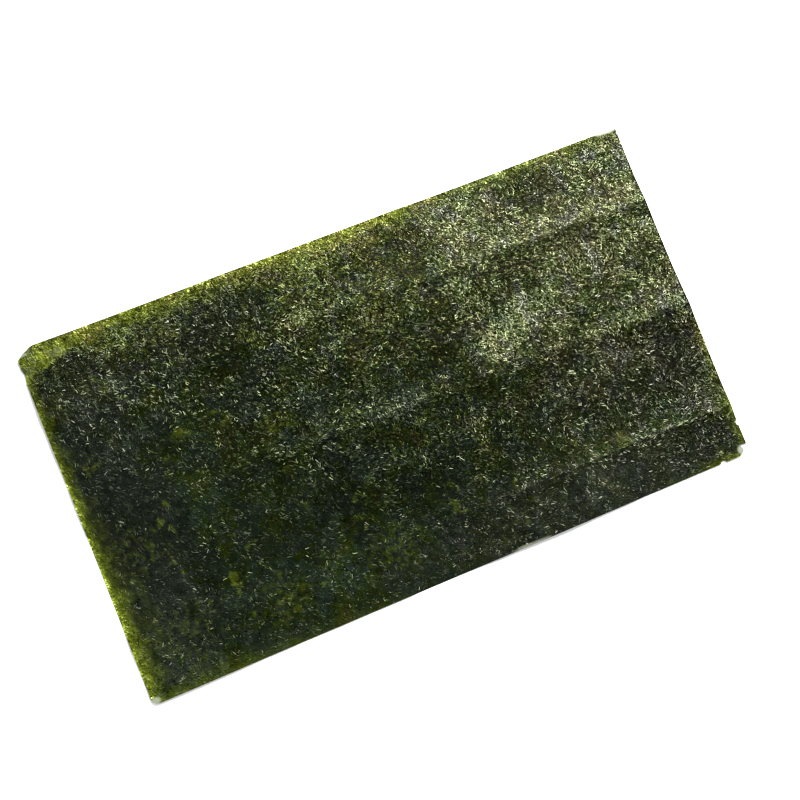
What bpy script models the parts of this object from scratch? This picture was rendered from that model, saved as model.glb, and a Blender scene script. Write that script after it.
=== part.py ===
"""Half-cut nori sheet: one thin, slightly wavy leaf of pressed seaweed.

The sheet lies flat with its long side along X and its short side along Y, and the origin is the
middle of its footprint, on the surface that it rests on. Three soft fold lines run along the
sheet as low ridges, and the panels between them sag a little, so the sheet touches the surface
in a few flat places. Lengths are written in millimetres and scaled to metres by MM.
"""

import math

import bpy
from mathutils import Vector, noise
from mathutils.geometry import delaunay_2d_cdt

MM = 0.001

# Sheet
LENGTH = 190.0
WIDTH = 106.5
THICKNESS = 0.36
THIN_SHARE = 0.55
EDGE_WAVER = 0.09
EDGE_WAVER_PERIOD = 17.0

# Fold lines, from the top edge, and how much each falls from the left side to the right
FOLD_FROM_TOP = (22.4, 56.6, 90.4)
FOLD_FALL = (3.4, 3.0, 1.2)
FOLD_RISE_RIGHT = 0.80
FOLD_RISE_LEFT = 0.45
FREE_PANEL_LOW = 0.62

# Broad waves over the whole sheet: height, length along X, length along Y, phase
WAVES = (
    (0.34, 92.0, 260.0, 0.9),
    (0.26, 57.0, -140.0, 2.3),
    (0.20, 150.0, 78.0, 4.1),
)

# Soft cross bends of the upper half: place along X, half-width, height
CROSS_BENDS = ((29.0, 8.0, 0.34), (-27.0, 6.0, 0.22))
CROSS_BEND_FADE = (-16.0, 14.0)

# Small cockles of the dried leaf: height and size
COCKLES = ((0.30, 13.0), (0.20, 7.0))

# Height of the free shape at which it meets the surface below and is pressed flat
PRESSED_LEVEL = -0.16

# How much the leaf's thickness varies, and over what size
GRAIN_SHARE = 0.30
GRAIN_SIZE = 6.0

# Thin bands along the edges
THIN_BAND = 1.9
THIN_CORNER_REACH = (17.0, 8.0)

# Corners, as steps from the square corner. Top left is clipped, and bottom right is torn.
CLIPPED_CORNER = ((5.4, -0.05), (4.3, -0.3), (3.4, -0.85), (2.1, -1.35), (0.9, -2.3), (0.1, -2.9))
LEFT_BITE = ((0.05, -6.0), (0.45, -7.0), (0.4, -8.2), (0.05, -9.4))
ROUNDED_CORNER_RADIUS = 2.1
ROUNDED_CORNER_STEPS = 5
TORN_CORNER = (
    (-17.9, 0.02), (-17.5, 0.42), (-17.2, 0.02), (-10.3, 0.03), (-9.4, 0.78), (-8.8, 0.86),
    (-8.2, 0.05), (-5.6, 0.03), (-3.5, 0.07), (-2.6, 0.55), (-1.75, 1.0), (-1.6, 1.7),
    (-2.0, 2.5), (-1.75, 3.1), (-0.08, 2.6), (-0.02, 6.6), (-0.03, 8.8), (-0.6, 9.25),
    (-0.68, 9.9), (-0.05, 10.8),
)

# Mesh
SPACING = 2.9
ROW_PITCH = 2.52
EDGE_CLEARANCE = 1.25
TORN_REACH = 6.0
EDGE_STEP = 2.7
SNAP = 1e-5

# Finish
NORI_COLOUR = (0.030, 0.042, 0.018, 1.0)
NORI_ROUGHNESS = 0.45

COLLECTION_NAME = "half_cut_nori_sheet"
NODE_NAME = "nori_sheet"


def clear_scene():
    """Remove every object, so that only the sheet is left."""
    for item in list(bpy.data.objects):
        bpy.data.objects.remove(item, do_unlink=True)


def smooth_step(low, high, value):
    """Return 0 below low, 1 above high, and a smooth change between them."""
    share = min(max((value - low) / (high - low), 0.0), 1.0)
    return share * share * (3.0 - 2.0 * share)


def blend(first, second, share):
    """Mix two numbers by a share from 0 to 1."""
    return first + (second - first) * share


def fold_y(index, x):
    """Return where a fold line runs at x. It falls slightly towards the right."""
    return WIDTH / 2 - FOLD_FROM_TOP[index] - FOLD_FALL[index] * x / LENGTH


def panel_limits(x):
    """Return the Y of the top edge, the three folds and the bottom edge at x."""
    folds = [fold_y(index, x) for index in range(len(FOLD_FROM_TOP))]
    return [WIDTH / 2] + folds + [-WIDTH / 2]


def panel_sag(x, y):
    """Return 1 on a fold line and 0 on the lowest line of a panel."""
    limits = panel_limits(x)
    last = len(limits) - 2
    index = sum(1 for limit in limits[1:-1] if y < limit)
    share = (limits[index] - y) / (limits[index] - limits[index + 1])
    if index == 0:
        return ((1.0 - share) / FREE_PANEL_LOW - 1.0) ** 2
    if index == last:
        return (share / FREE_PANEL_LOW - 1.0) ** 2
    return (2.0 * share - 1.0) ** 2


def broad_waves(x, y):
    """Return the height of the long waves."""
    total = 0.0
    for height, along_x, along_y, phase in WAVES:
        total += height * math.sin(2.0 * math.pi * (x / along_x + y / along_y) + phase)
    return total


def cross_bends(x, y):
    """Return the height of the soft bends that cross the upper panels."""
    total = 0.0
    for place, half_width, height in CROSS_BENDS:
        total += height * math.exp(-(((x - place) / half_width) ** 2))
    return total * smooth_step(*CROSS_BEND_FADE, y)


def cockles(x, y):
    """Return the height of the small lumps of the dried leaf."""
    return sum(height * noise.noise(Vector((x, y, size)) / size) for height, size in COCKLES)


def underside_height(x, y):
    """Return how far the underside stands off the surface that the sheet lies on."""
    rise = blend(FOLD_RISE_LEFT, FOLD_RISE_RIGHT, smooth_step(-LENGTH / 2, LENGTH / 2, x))
    free = rise * panel_sag(x, y) + broad_waves(x, y) + cross_bends(x, y) + cockles(x, y)
    return max(free - PRESSED_LEVEL, 0.0)


def thin_share(x, y):
    """Return 1 where the leaf is thinnest, at the edges and the top left corner, and 0 inside."""
    from_edge = min(LENGTH / 2 - abs(x), WIDTH / 2 - abs(y))
    band = 1.0 - smooth_step(0.0, THIN_BAND, from_edge)
    reach_x, reach_y = THIN_CORNER_REACH
    corner = (x + LENGTH / 2) / reach_x + (WIDTH / 2 - y) / reach_y
    return max(band, 1.0 - smooth_step(0.7, 1.1, corner))


def leaf_thickness(x, y):
    """Return the leaf's thickness as a share of the full one."""
    grain = 1.0 - GRAIN_SHARE * (0.5 + 0.5 * noise.noise(Vector((x, y, 0.0)) / GRAIN_SIZE))
    return grain * blend(1.0, THIN_SHARE, thin_share(x, y))


def straight_run(start, end, inward):
    """Return points from start up to, but without, end. A cut edge wavers inwards a little."""
    steps = round(math.dist(start, end) / EDGE_STEP)
    points = [start]
    for step in range(1, steps):
        x = blend(start[0], end[0], step / steps)
        y = blend(start[1], end[1], step / steps)
        waver = EDGE_WAVER * (0.5 - 0.5 * math.cos(math.tau * (x + y) / EDGE_WAVER_PERIOD))
        points.append((x + inward[0] * waver, y + inward[1] * waver))
    return points


def rounded_corner():
    """Return the arc of the bottom left corner, from the left edge to the bottom edge."""
    centre_x = -LENGTH / 2 + ROUNDED_CORNER_RADIUS
    centre_y = -WIDTH / 2 + ROUNDED_CORNER_RADIUS
    points = []
    for step in range(ROUNDED_CORNER_STEPS + 1):
        angle = math.pi + step / ROUNDED_CORNER_STEPS * math.pi / 2
        x = centre_x + ROUNDED_CORNER_RADIUS * math.cos(angle)
        y = centre_y + ROUNDED_CORNER_RADIUS * math.sin(angle)
        points.append((x, y))
    return points


def outline():
    """Return the outline anticlockwise, from the top left corner down."""
    half_x = LENGTH / 2
    half_y = WIDTH / 2
    clipped = [(-half_x + dx, half_y + dy) for dx, dy in CLIPPED_CORNER]
    bite = [(-half_x + dx, half_y + dy) for dx, dy in LEFT_BITE]
    rounded = rounded_corner()
    torn = [(half_x + dx, -half_y + dy) for dx, dy in TORN_CORNER]
    top_right = (half_x, half_y)
    points = clipped + bite[:-1]
    points += straight_run(bite[-1], rounded[0], (1.0, 0.0))
    points += rounded[:-1]
    points += straight_run(rounded[-1], torn[0], (0.0, 1.0))
    points += torn[:-1]
    points += straight_run(torn[-1], top_right, (-1.0, 0.0))
    points += straight_run(top_right, clipped[0], (0.0, -1.0))
    return points


def distance_to_outline(point, points):
    """Return the shortest way from a point to the outline."""
    place = Vector(point)
    nearest = math.inf
    for start, end in zip(points, points[1:] + points[:1]):
        first = Vector(start)
        along = Vector(end) - first
        share = min(max((place - first).dot(along) / along.length_squared, 0.0), 1.0)
        nearest = min(nearest, (place - first - along * share).length)
    return nearest


def inner_rows():
    """Return the rows of inner points. Every fold line is a row, and every other row is shifted."""
    middle = panel_limits(0.0)
    columns = round(LENGTH / SPACING)
    rows = []
    for panel, (top, bottom) in enumerate(zip(middle, middle[1:])):
        count = round((top - bottom) / ROW_PITCH)
        for row in range(count):
            shift = 0.25 + 0.5 * (len(rows) % 2)
            points = []
            for column in range(columns):
                x = -LENGTH / 2 + (column + shift) * LENGTH / columns
                limits = panel_limits(x)
                points.append((x, blend(limits[panel], limits[panel + 1], row / count)))
            rows.append(points)
    return rows


def flat_leaf():
    """Return the points and triangles of the flat leaf inside its outline."""
    border = outline()
    inner = []
    for row in inner_rows():
        for x, y in row:
            from_side = min(LENGTH / 2 - abs(x), WIDTH / 2 - abs(y))
            if from_side < EDGE_CLEARANCE:
                continue
            if from_side > TORN_REACH or distance_to_outline((x, y), border) > EDGE_CLEARANCE:
                inner.append((x, y))
    points = [Vector(point) for point in border + inner]
    loop = list(range(len(border)))
    corners, _, triangles, _, _, _ = delaunay_2d_cdt(points, [], [loop], 1, SNAP)
    return corners, triangles


def nori_material():
    """Return the dark green finish of toasted seaweed."""
    material = bpy.data.materials.new("nori")
    material.use_nodes = True
    material.diffuse_color = NORI_COLOUR
    shader = material.node_tree.nodes["Principled BSDF"]
    shader.inputs["Base Color"].default_value = NORI_COLOUR
    shader.inputs["Roughness"].default_value = NORI_ROUGHNESS
    shader.inputs["Metallic"].default_value = 0.0
    return material


def centre_on_base(sheet):
    """Move the mesh so that the middle of its footprint is the origin."""
    depsgraph = bpy.context.evaluated_depsgraph_get()
    shape = sheet.evaluated_get(depsgraph).to_mesh()
    xs = [vertex.co.x for vertex in shape.vertices]
    ys = [vertex.co.y for vertex in shape.vertices]
    off_centre = Vector(((min(xs) + max(xs)) / 2, (min(ys) + max(ys)) / 2, 0.0))
    for vertex in sheet.data.vertices:
        vertex.co -= off_centre


def build_sheet():
    """Build the leaf: a wavy underside, made solid by its thickness."""
    corners, triangles = flat_leaf()
    points = [(x * MM, y * MM, underside_height(x, y) * MM) for x, y in corners]
    mesh = bpy.data.meshes.new(NODE_NAME)
    mesh.from_pydata(points, [], triangles)
    mesh.materials.append(nori_material())
    sheet = bpy.data.objects.new(NODE_NAME, mesh)
    collection = bpy.data.collections.new(COLLECTION_NAME)
    bpy.context.scene.collection.children.link(collection)
    collection.objects.link(sheet)

    group = sheet.vertex_groups.new(name="leaf_thickness")
    for index, (x, y) in enumerate(corners):
        group.add([index], leaf_thickness(x, y), "REPLACE")

    solid = sheet.modifiers.new("leaf_thickness", "SOLIDIFY")
    solid.thickness = THICKNESS * MM
    solid.offset = 1.0
    solid.use_rim = True
    solid.vertex_group = group.name
    centre_on_base(sheet)
    return sheet


def main():
    """Build the object."""
    clear_scene()
    build_sheet()


main()
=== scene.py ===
"""Looks of the half-cut nori sheet.

The leaf is rebuilt at the size of its flakes: the same outline, folds and waves as the CAD solid,
with overlapping flakes, curled rims and wrinkles pressed into one relief. It is one closed mesh
for each panel between two folds. Closed slivers of film, sunk a little into it, are the strands
and the crisp crests that catch the light, their pale colour partly a painted glint, and dark
slivers of painted shade. The film's colour also holds painted light: a sheen towards the upper
right, shade below and highlight above the folds, shade in hollows, and the light that comes
through thin leaf. Lengths in this file are millimetres, scaled to metres by MM where a mesh, a
lamp or the camera is made.
"""

import math
from collections import namedtuple

import bpy
import numpy as np
from mathutils import Matrix, Vector, noise


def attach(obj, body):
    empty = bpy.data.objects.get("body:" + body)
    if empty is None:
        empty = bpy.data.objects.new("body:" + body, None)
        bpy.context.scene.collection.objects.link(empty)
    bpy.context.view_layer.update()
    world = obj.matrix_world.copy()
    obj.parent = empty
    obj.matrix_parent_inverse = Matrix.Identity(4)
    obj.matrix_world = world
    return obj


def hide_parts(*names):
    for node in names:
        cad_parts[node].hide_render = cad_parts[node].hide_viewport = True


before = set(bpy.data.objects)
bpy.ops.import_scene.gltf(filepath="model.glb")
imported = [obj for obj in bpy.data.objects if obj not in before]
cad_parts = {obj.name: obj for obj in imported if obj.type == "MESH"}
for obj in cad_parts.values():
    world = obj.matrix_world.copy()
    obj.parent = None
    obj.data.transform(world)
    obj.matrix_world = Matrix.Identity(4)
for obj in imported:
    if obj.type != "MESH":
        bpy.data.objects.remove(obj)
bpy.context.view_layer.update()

MM = 0.001
NODE = "nori_sheet"
BODY = "root"

# The sheet's form, as in the CAD model
LENGTH = 190.0
WIDTH = 106.5
FOLD_FROM_TOP = (22.4, 56.6, 90.4)
FOLD_FALL = (3.4, 3.0, 1.2)
FOLD_RISE_RIGHT = 0.80
FOLD_RISE_LEFT = 0.45
FREE_PANEL_LOW = 0.62
WAVES = (
    (0.34, 92.0, 260.0, 0.9),
    (0.26, 57.0, -140.0, 2.3),
    (0.20, 150.0, 78.0, 4.1),
)
CROSS_BENDS = ((29.0, 8.0, 0.34), (-27.0, 6.0, 0.22))
CROSS_BEND_FADE = (-16.0, 14.0)
COCKLES = ((0.30, 13.0), (0.20, 7.0))
PRESSED_LEVEL = -0.16
CLIPPED_CORNER = ((5.4, -0.05), (4.3, -0.3), (3.4, -0.85), (2.1, -1.35), (0.9, -2.3), (0.1, -2.9))
LEFT_BITE = ((0.05, -6.0), (0.45, -7.0), (0.4, -8.2), (0.05, -9.4))
ROUNDED_CORNER_RADIUS = 2.1
ROUNDED_CORNER_STEPS = 5
TORN_CORNER = (
    (-17.9, 0.02), (-17.5, 0.42), (-17.2, 0.02), (-10.3, 0.03), (-9.4, 0.78), (-8.8, 0.86),
    (-8.2, 0.05), (-5.6, 0.03), (-3.5, 0.07), (-2.6, 0.55), (-1.75, 1.0), (-1.6, 1.7),
    (-2.0, 2.5), (-1.75, 3.1), (-0.08, 2.6), (-0.02, 6.6), (-0.03, 8.8), (-0.6, 9.25),
    (-0.68, 9.9), (-0.05, 10.8),
)

# Mesh of the leaf. The underside's cells are two by two of the top's. Points within so many cells
# of the outline are drawn onto it.
CELL = 0.31
EDGE_REACH = 7.0
SNAP_REACH = 1.6
LEAST_LEAF = 0.08
RELIEF = 0.14
RELIEF_RANGE = (0.5, 99.7)
UNDERSIDE_RELIEF = 0.25

# Raster on which flakes are pressed into the relief, and its tone and hue before the first one
PIXEL = 0.15
MARGIN = 4.0
SEED = 41
START_TONE = 0.4
START_OLIVE = 0.5

# Direction of the strands: its mean, its swing with the noise, and each one's scatter
LAY = (-0.7, 1.4, 0.60)

# Flakes: shape, scale and least of the half-length, width as a share of it, bend, height, tilt
# along and across, mean and spread of the curled rim, and tone and hue with the noise's part
FLAKES = 30000
FLAKE_LENGTH = (3.0, 0.24, 0.3)
FLAKE_WIDTH = (0.20, 0.50)
FLAKE_BEND = 0.55
FLAKE_LIFT = 0.05
FLAKE_TILT = (0.03, 0.035)
FLAKE_RIM = (0.03, 0.04)
FLAKE_TONE = (1.5, 2.2, 0.12)
FLAKE_OLIVE = (-0.20, 0.80, 0.7)

# One flake: the reach of its window in half-lengths, the bow of a bent one, how blunt its ends are,
# its soft border, where its rim lies, how wide that is, from which side on and how far out, and how
# much it hides of the relief and of the tone below it
FLAKE_WINDOW = 1.25
FLAKE_BOW = 0.3
FLAKE_BLUNTNESS = 2.6
FLAKE_BORDER = (1.18, 0.82)
RIM_PLACE = 0.93
RIM_WIDTH = 0.16
RIM_SIDE = -0.2
RIM_REACH = 1.6
HIDES_RELIEF = 0.62
HIDES_TONE = 0.8

# Packs of wrinkles: window and half-length as for a flake, spacing of the ridges, bend, how far each
# one slips along, height, and between which values of the noise they come in. Then the ridges of a
# pack: how many at most, how sharp, the level that keeps its tone, and how they end.
PACKS = 16000
PACK_WINDOW = 1.3
PACK_LENGTH = (3.0, 0.22, 0.35)
PACK_PITCH = (0.50, 0.85)
PACK_BEND = 0.45
PACK_SLIP = 0.35
PACK_HEIGHT = (0.02, 0.07)
PACK_PATCHES = (-0.35, 0.25)
MOST_RIDGES = 5
RIDGE_SHARPNESS = 1.3
RIDGE_MIDDLE = 0.35
RIDGE_ENDS = (1.0, 0.6)

# Tones of the leaf: the shares of the flakes' own tones, of painted shade in hollows with painted
# highlight on high places, and of painted highlight and shade on wrinkles, the shift of all of it,
# and that of large lumps
LEAF_TONE = 0.50
RELIEF_SHADE_TONE = 0.30
WRINKLE_LIGHT_TONE = 0.75
TONE_SHIFT = 0.018
LARGE_TONE = 0.03

# The film is dull and limp at the lower left, crisp and shiny at the upper right, and its crispness
# also paints the sheen of the light there: weights of X and Y, the range of their sum, and the
# least, most and middle crispness with its change of tone, which is a painted sheen
CRISP_ALONG = (0.6, 0.6)
CRISP_SLANT = (-0.7, 0.9)
CRISP_LEAST = 0.40
CRISP_MOST = 1.40
CRISP_MIDDLE = 0.90
CRISP_SHEEN_TONE = 0.08

# It is less crisp below the lowest fold too, with less painted sheen: middle, half-size, and how much
# less crisp
LESS_CRISP_AND_SHEEN = ((70.0, -44.0), (42.0, 14.0), 0.10)

# Contrast between flakes where the film is dull
DULL_CONTRAST = 0.27

# Film between the strokes is darker by the first, from and to which crispness that comes in
CRISP_DARK = 0.15
CRISP_DARK_RANGE = (0.45, 0.85)

# Fine lines show from this crispness on, by this much for each one more, and to this most
LINES_FROM = 0.4
LINES_BY_CRISPNESS = 1.6
LINES_MOST = 1.3

# The film is crunched in the middle: middle, half-size and strength, how much darker it is there,
# and how far its clumps are darker and paler
CRUNCH = ((10.0, 7.0), (46.0, 38.0), 0.58)
CRUNCH_DARK = 0.33
CLUMP_TONE = 0.46

# Hue: change from green to olive by crispness, drift in large patches, and greyish painted sheen with
# the values of the noise between which it shows and the share of the raggedness in them
OLIVE_SHIFT = 0.62
HUE_DRIFT = 0.5
PAINTED_SHEEN = 0.40
PAINTED_SHEEN_SHOWS = (0.05, 0.40)
PAINTED_SHEEN_RAGGED = 0.3

# Smooth noise by its use: the size of its lumps, and the layer that it is read from
LUMPS = {
    "lay": (12.0, 3.0), "flake tone": (6.0, 20.0), "flake hue": (6.0, 40.0), "border": (3.0, 55.0),
    "edge": (4.0, 60.0), "breaks": (1.8, 65.0), "small edge": (1.6, 70.0), "fine": (0.9, 75.0),
    "mottle": (7.0, 80.0), "small mottle": (2.4, 85.0), "packs": (7.0, 90.0), "fold": (6.0, 95.0),
    "cross bend": (5.0, 99.0), "large tone": (9.0, 130.0), "grey_and_sheen": (5.0, 140.0),
    "thin tone": (3.0, 150.0), "pale flecks": (2.5, 160.0), "hue drift": (8.0, 170.0),
    "clumps": (7.0, 180.0),
}
KIND_LAYER = 100.0

# Borders of the ovals below, as shares of their half-size, and how ragged they are
OVAL_BORDER = (1.3, 0.6)
BORDER_RAGGED = 0.5

# Thin leaf, where the light that comes through is painted into the colour: more tone where the film is
# dull, mottles, and the least that shows
THIN_TONE = 0.22
THIN_MOTTLE = 0.35
THIN_LEAST = 0.03

# Its raggedness: shares of two noises, how far it and the finest noise move the light of the
# edges, and how far it moves the borders of the corner and of the spots
RAGGED = (0.45, 0.35)
EDGE_RAGGED = (1.6, 0.5)
CORNER_RAGGED = 0.3
SPOT_RAGGED = 1.5

# The spots are broken up between these values of a noise, with this share of the finest one
BREAKS = (-0.35, 0.45)
BREAKS_FINE = 0.5

# Mottles all over: shares of the smaller noises, the values between which they show, their
# strength with how much more the lower left has, and how far that change reaches
MOTTLE_SHARES = (0.6, 0.3)
MOTTLE_SHOWS = (0.45, 0.85)
MOTTLE_STRENGTH = (0.08, 0.22)
MOTTLE_REACH = 0.9

# Unevenness of all thin leaf: the mean, and the shares of the finest noise and of the raggedness
UNEVEN = (0.8, 0.4, 0.5)

# Edges where light comes through: place along the side, strength there, and reach into the leaf
THIN_EDGES = {
    "top": (
        (-95.0, 1.0, 3.0), (-78.0, 0.9, 2.6), (-68.0, 1.15, 3.0), (-30.0, 1.0, 2.6),
        (-10.0, 1.1, 3.0), (6.0, 1.5, 2.3), (22.0, 1.6, 2.0), (28.0, 0.7, 1.3), (70.0, 0.5, 2.0),
        (90.0, 0.6, 0.7),
    ),
    "left": (
        (-53.0, 1.15, 2.8), (-25.0, 1.3, 2.9), (-12.0, 1.15, 2.5), (5.0, 1.5, 1.6),
        (18.0, 1.1, 1.5), (27.0, 1.05, 1.1), (42.0, 1.15, 1.1), (47.0, 0.9, 2.5),
    ),
    "bottom": (
        (-85.0, 0.40, 3.0), (-40.0, 0.15, 3.0), (-20.0, 0.2, 0.8), (-10.0, 0.0, 0.8),
        (60.0, 0.0, 0.7), (78.0, 0.25, 1.5), (88.0, 0.9, 1.6),
    ),
    "right": (
        (-50.0, 0.8, 1.9), (-30.0, 0.35, 2.5), (-15.0, 0.65, 1.3), (-6.0, 0.0, 1.3),
    ),
}

# Thin corner between the top and left edges: places along the top, depths there, and strength
THIN_CORNER = ((-95.0, -76.0), (8.8, 3.4), 0.85)
CORNER_BORDER = (1.08, 0.94)
CORNER_END = 3.0

# Thin places inside the leaf: middle, half-size, strength
THIN_SPOTS = (
    ((-50, -41), (8, 6.5), 0.22),
    ((-16, -39), (9, 7), 0.2),
    ((-80, -38), (11, 10), 0.16),
    ((-84, -12), (6, 9), 0.2),
    ((-60, 44), (14, 6), 0.22),
    ((-12, 44), (16, 6), 0.28),
    ((6, 36), (26, 20), 0.16),
)

# Places that are darker or paler than the leaf round them, matched to the blurred photograph:
# middle, half-size, change of tone
TONE_PATCHES = (
    ((-72, 47), (9, 5), 0.17), ((-79, 33), (12, 8), 0.12),
    ((-60, 25), (6, 6), 0.08), ((-61, -6), (6, 14), 0.13),
    ((-77, 16.5), (5, 5), 0.12), ((-39, 37), (13, 11), -0.2),
    ((-21, 41), (9, 8), -0.2), ((-33, 1), (6.5, 5), 0.17),
    ((-45, -46), (70, 16), 0.1), ((-83, -38), (12, 20), 0.12),
    ((-75, -40), (6, 5), -0.1), ((-32, -39), (8, 9), 0.14),
    ((-20, -19), (9, 7), -0.12), ((-23, -36), (6, 7), -0.1),
    ((-20, -6), (15, 8), 0.16), ((-8, -16.5), (9, 6), 0.18),
    ((-17, 31.8), (13, 4), 0.16), ((-27, 13.5), (7, 4.5), 0.13),
    ((-7, 49), (8, 5), 0.17), ((0, 10), (36, 28), -0.08),
    ((-4, 15.5), (8.5, 6), -0.21), ((1, 26.5), (12, 5), 0.16),
    ((14, 41), (14, 9), -0.25), ((13, 11), (9, 9), -0.19),
    ((50, 23), (7, 7), -0.13), ((37, 45), (11, 7), 0.1),
    ((29.5, 24.5), (5.5, 5.5), 0.2), ((34, 6), (9.5, 6), 0.27),
    ((48.5, 12), (6.5, 5.5), 0.24), ((64, 44.5), (11, 7), -0.24),
    ((68, 22.5), (7, 4), 0.13), ((70, 6), (12, 7), -0.14),
    ((88, 14), (6, 6), -0.16), ((85, 22.5), (6, 5), 0.1),
    ((46, -4), (15, 8), -0.18), ((60, -21.5), (14, 5), -0.17),
    ((0, -2), (5, 7), 0.12), ((24, 3), (8, 8), -0.15),
    ((29, -8.5), (11, 5), -0.21), ((-4, -30), (5, 4.5), -0.13),
    ((75, -7.5), (5, 4), -0.12), ((22, -13.5), (7, 4.5), 0.21),
    ((22, -24), (30, 12), -0.09), ((47, -28), (10, 5), 0.12),
    ((30, -33), (5, 5), 0.12), ((85.5, -11.5), (6.5, 8), -0.28),
    ((79, -23), (11, 6), -0.17), ((62, -44), (46, 10), 0.08),
    ((48, -42), (6, 9), 0.15),
)

# Places of another hue: middle, half-size, change from green to olive, and change of the greyish mix
# that also carries the painted sheen
HUE_PATCHES = (
    ((-84, -12), (16, 40), -0.32, 0.34),
    ((45, -46), (60, 12), 0.1, 0.45),
    ((88, -20), (10, 20), 0.1, 0.3),
    ((-78, 36), (15, 10), 0.24, 0.3),
    ((-52, -4), (18, 20), 0.14, -0.2),
    ((58, 16), (36, 34), 0.16, 0),
    ((62, -18), (28, 15), 0.12, 0.25),
    ((-46, 42), (18, 8), 0, 0.35),
)

# The film is darker below each fold and paler above it, a painted shade and a painted highlight: from
# and to which X that comes in, the change of tone below and the one above. Then how far above each
# fold line the step lies, and the reach below and above.
FOLD_SHADES = (
    (-100.0, -5.0, 0.22, 0.09), (-80.0, -5.0, 0.20, 0.09), (-10.0, 40.0, 0.07, 0.11),
)
FOLD_LIFT = (0.5, 0.8, 0.0)
FOLD_REACH = 6.0
FOLD_GLOW_REACH = 3.0

# How far the step wanders off its line, where it turns dark and where pale, and the X between
# which the painted highlight grows to twice as much
FOLD_WANDER = 0.5
FOLD_TO_DARK = (-0.4, 0.1)
FOLD_TO_PALE = (0.0, -0.4)
FOLD_GLOW_DOUBLES = (30.0, 75.0)

# The film is darker to the left of the cross bend, a painted shade where it turns from the light: its
# X, the Y range, the change and its reach. Then how far that wanders, half the width of the step,
# and how far it fades at both ends.
CROSS_SHADE = (27.0, (-4.0, 36.0), 0.20, 12.0)
CROSS_WANDER = 0.8
CROSS_STEP = 0.8
CROSS_END = 5.0

# Frayed, see-through bits of the corners, nearly white: middle, half-size, strength
PALE_SPOTS = (
    ((91.5, 53.2), (3.4, 0.7), 0.8),
    ((-93.2, 51.4), (1.4, 0.5), 0.4),
    ((-93.9, -52.4), (1.3, 1), 0.5),
    ((92.9, -51.6), (1.6, 1.4), 0.5),
    ((21, -53), (6, 0.5), 0.3),
)

# Pale flecks where the corner between the top and left edges is thin
PALE_CORNER = ((-88.0, 47.0), (10.0, 7.0), 0.15)
PALE_FLECKS = (-0.3, 0.6)

# How many places are compared with the outline at once
AT_ONCE = 20000


def smooth_step(low, high, value):
    """Return 0 at low and before it, 1 at high and beyond, and a smooth change between them."""
    share = np.clip((value - low) / (high - low), 0.0, 1.0)
    return share * share * (3.0 - 2.0 * share)


def fold_y(index, x):
    """Return where a fold line runs at x."""
    return WIDTH / 2 - FOLD_FROM_TOP[index] - FOLD_FALL[index] * x / LENGTH


def panel_limits(x):
    """Return the Y of the top edge, the three folds and the bottom edge at x."""
    folds = [fold_y(index, x) for index in range(len(FOLD_FROM_TOP))]
    return [x * 0.0 + WIDTH / 2] + folds + [x * 0.0 - WIDTH / 2]


def panel_sag(x, y):
    """Return 1 on a fold line and 0 on the lowest line of a panel."""
    limits = panel_limits(x)
    sag = np.zeros_like(x)
    last = len(limits) - 2
    for index in range(last + 1):
        share = (limits[index] - y) / (limits[index] - limits[index + 1])
        if index == 0:
            form = ((1.0 - share) / FREE_PANEL_LOW - 1.0) ** 2
        elif index == last:
            form = (share / FREE_PANEL_LOW - 1.0) ** 2
        else:
            form = (2.0 * share - 1.0) ** 2
        inside = (y >= limits[index + 1]) if index < last else (y >= -np.inf)
        if index:
            inside &= y < limits[index]
        sag = np.where(inside, form, sag)
    return sag


def noise_map(x, y, size, layer):
    """Return smooth noise, from about -1 to 1, whose lumps are about size across."""
    places = zip((x / size).ravel().tolist(), (y / size).ravel().tolist())
    level = layer / size
    values = [noise.noise(Vector((u, v, level))) for u, v in places]
    return np.array(values).reshape(x.shape)


def lumps(x, y, name, step=0):
    """Return the noise of that name in LUMPS, read step layers further on."""
    size, layer = LUMPS[name]
    return noise_map(x, y, size, layer + step)


def underside_height(x, y):
    """Return how far the underside stands off the surface that the sheet lies on."""
    rise = FOLD_RISE_LEFT + (FOLD_RISE_RIGHT - FOLD_RISE_LEFT) * smooth_step(-LENGTH / 2, LENGTH / 2, x)
    free = rise * panel_sag(x, y)
    for height, along_x, along_y, phase in WAVES:
        free += height * np.sin(2.0 * math.pi * (x / along_x + y / along_y) + phase)
    bends = sum(height * np.exp(-(((x - place) / half) ** 2)) for place, half, height in CROSS_BENDS)
    free += bends * smooth_step(*CROSS_BEND_FADE, y)
    for height, size in COCKLES:
        free += height * noise_map(x, y, size, size)
    return np.maximum(free - PRESSED_LEVEL, 0.0)


def rounded_corner():
    """Return the arc of the bottom left corner, from the left edge to the bottom edge."""
    centre_x = -LENGTH / 2 + ROUNDED_CORNER_RADIUS
    centre_y = -WIDTH / 2 + ROUNDED_CORNER_RADIUS
    points = []
    for step in range(ROUNDED_CORNER_STEPS + 1):
        angle = math.pi + step / ROUNDED_CORNER_STEPS * math.pi / 2
        x = centre_x + ROUNDED_CORNER_RADIUS * math.cos(angle)
        y = centre_y + ROUNDED_CORNER_RADIUS * math.sin(angle)
        points.append((x, y))
    return points


def outline():
    """Return the corners of the outline, anticlockwise from the top left corner."""
    half_x = LENGTH / 2
    half_y = WIDTH / 2
    points = [(-half_x + dx, half_y + dy) for dx, dy in CLIPPED_CORNER]
    points += [(-half_x + dx, half_y + dy) for dx, dy in LEFT_BITE]
    points += rounded_corner()
    points += [(half_x + dx, -half_y + dy) for dx, dy in TORN_CORNER]
    points.append((half_x, half_y))
    return np.array(points)


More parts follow.
